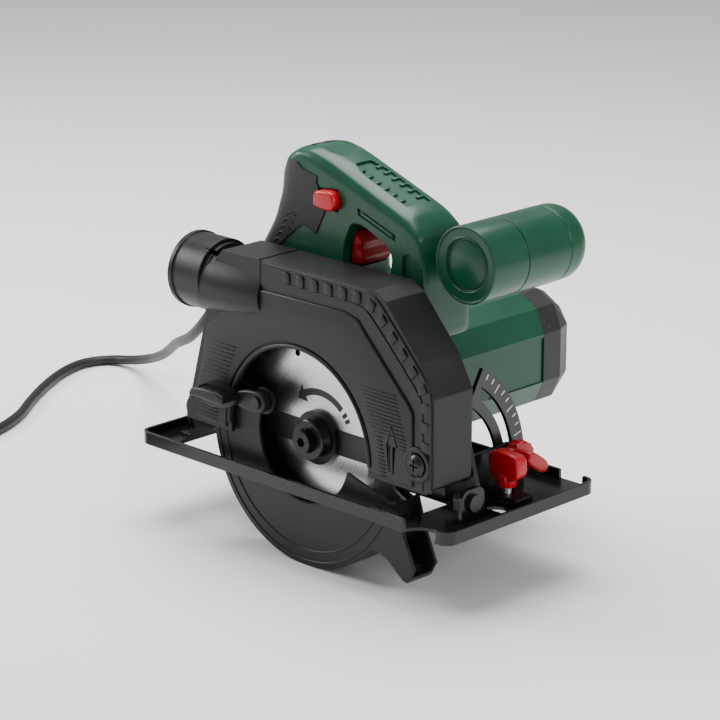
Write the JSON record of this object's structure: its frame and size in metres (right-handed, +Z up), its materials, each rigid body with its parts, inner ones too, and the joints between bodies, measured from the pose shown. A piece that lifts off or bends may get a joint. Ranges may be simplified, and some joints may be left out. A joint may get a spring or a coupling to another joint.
{
  "type": "circular saw",
  "caption": "Hand-held circular saw with a steel blade, swinging lower guard, tilting sole, D-shaped rear handle, side motor and mains cord.",
  "frame": {"origin": "under the sole plate, on the blade's axis line and in the blade's middle plane", "axes": "+X in the cutting direction, +Y towards the motor, +Z up from the sole"},
  "size_m": [0.5023, 0.3488, 0.2338],
  "materials": {
    "black_enamel": "glossy black enamel",
    "black_steel": "satin black coat on pressed steel",
    "zinc": "zinc plated",
    "red_plastic": "smooth red",
    "black_plastic": "fine grained black",
    "black_gloss": "glossy black",
    "cast_alloy": "die cast",
    "green_plastic": "dark green, slightly glossy",
    "grey_plastic": "dark grey",
    "soft_grip": "soft black grip",
    "core_steel": "stacked or cut steel",
    "brass_parts": "turned",
    "bearing_steel": "ground",
    "blade_steel": "ground blade",
    "cord_rubber": "matt black cord"
  },
  "bodies": {
    "base": {"sole_plate": "black_enamel", "hinge_lugs": "black_enamel", "bevel_quadrant": "black_steel", "quadrant_rivets": "zinc", "fence_clamp": "black_enamel", "tilt_pins": "zinc"},
    "fence_screw_body": {"fence_screw": "zinc", "fence_knob": "red_plastic"},
    "tilt_carriage": {"tilt_frame": "black_steel", "depth_arc": "black_steel", "bevel_bolt": "zinc"},
    "bevel_knob_body": {"bevel_knob": "red_plastic"},
    "saw_head": {"upper_guard": "black_plastic", "dust_port": "black_plastic", "gear_housing": "cast_alloy", "gear_cover": "cast_alloy", "motor_housing": "green_plastic", "end_cap": "grey_plastic", "handle_left": "green_plastic", "handle_right": "green_plastic", "grip_cover": "soft_grip", "front_handle": "green_plastic", "front_handle_cap": "green_plastic", "stator": "core_steel", "brush_holders": "brass_parts", "carbon_brushes": "black_plastic", "spindle_bearings": "bearing_steel", "motor_bearings": "bearing_steel", "switch_block": "black_plastic", "guard_spring": "bearing_steel", "guard_ring": "zinc", "guard_bumper": "soft_grip", "housing_screws": "zinc", "guard_screws": "zinc", "depth_bolt": "zinc", "depth_pin": "zinc", "cord_clamp": "black_plastic", "strain_relief": "cord_rubber", "power_cord": "cord_rubber", "cord_coil": "cord_rubber", "power_plug": "cord_rubber"},
    "blade_spindle": {"spindle": "bearing_steel", "drive_gear": "core_steel", "inner_flange": "zinc", "saw_blade": "blade_steel", "outer_flange": "zinc", "blade_bolt": "black_steel"},
    "armature": {"armature_shaft": "bearing_steel", "armature_core": "core_steel", "commutator": "brass_parts", "cooling_fan": "black_plastic"},
    "swing_guard": {"lower_guard": "black_gloss", "guard_lever": "black_plastic", "lever_screw": "zinc"},
    "trigger_body": {"trigger": "red_plastic"},
    "lock_button_body": {"lock_button": "red_plastic"},
    "spindle_lock_body": {"spindle_lock": "black_plastic"},
    "depth_lever_body": {"depth_lever": "black_plastic"}
  },
  "joints": [
    {"name": "fence_screw_turn", "type": "hinge", "parent": "base", "child": "fence_screw_body", "pos_m": [0.1035, 0.0415, 0], "axis": [0, 0, 1], "range_deg": [-180, 180]},
    {"name": "bevel_tilt", "type": "hinge", "parent": "base", "child": "tilt_carriage", "pos_m": [0, 0.006, 0.015], "axis": [1, 0, 0], "range_deg": [0, 45]},
    {"name": "bevel_knob_turn", "type": "hinge", "parent": "tilt_carriage", "child": "bevel_knob_body", "pos_m": [0.09, 0.06456, 0.02219], "axis": [1, 0, 0], "range_deg": [-90, 90]},
    {"name": "depth_swing", "type": "hinge", "parent": "tilt_carriage", "child": "saw_head", "pos_m": [0.092, 0, 0.038], "axis": [0, 1, 0], "range_deg": [0, 22]},
    {"name": "blade_spin", "type": "hinge", "parent": "saw_head", "child": "blade_spindle", "pos_m": [0, 0, 0.028], "axis": [0, 1, 0], "continuous": true},
    {"name": "armature_spin", "type": "hinge", "parent": "saw_head", "child": "armature", "pos_m": [0.01375, 0, 0.058], "axis": [0, 1, 0], "continuous": true},
    {"name": "lower_guard_swing", "type": "hinge", "parent": "saw_head", "child": "swing_guard", "pos_m": [0, 0, 0.028], "axis": [0, 1, 0], "range_deg": [0, 105], "stiffness_Nm_per_rad": 0.25, "springref_deg": -68.75},
    {"name": "trigger_pull", "type": "slide", "parent": "saw_head", "child": "trigger_body", "axis": [-1, 0, 0], "range_m": [0, 0.005], "stiffness_N_per_m": 900, "springref_m": -0.003},
    {"name": "lock_press", "type": "slide", "parent": "saw_head", "child": "lock_button_body", "axis": [0, 1, 0], "range_m": [0, 0.003], "stiffness_N_per_m": 700, "springref_m": -0.003},
    {"name": "spindle_lock_press", "type": "slide", "parent": "saw_head", "child": "spindle_lock_body", "axis": [-1, 0, 0], "range_m": [0, 0.0025], "stiffness_N_per_m": 600, "springref_m": -0.003},
    {"name": "depth_lever_swing", "type": "hinge", "parent": "saw_head", "child": "depth_lever_body", "pos_m": [-0.087, 0, 0.031], "axis": [0, 1, 0], "range_deg": [0, 50]}
  ],
  "couplings": [
    {"joint": "armature_spin", "follows": "blade_spin", "ratio": -1.9333}
  ]
}
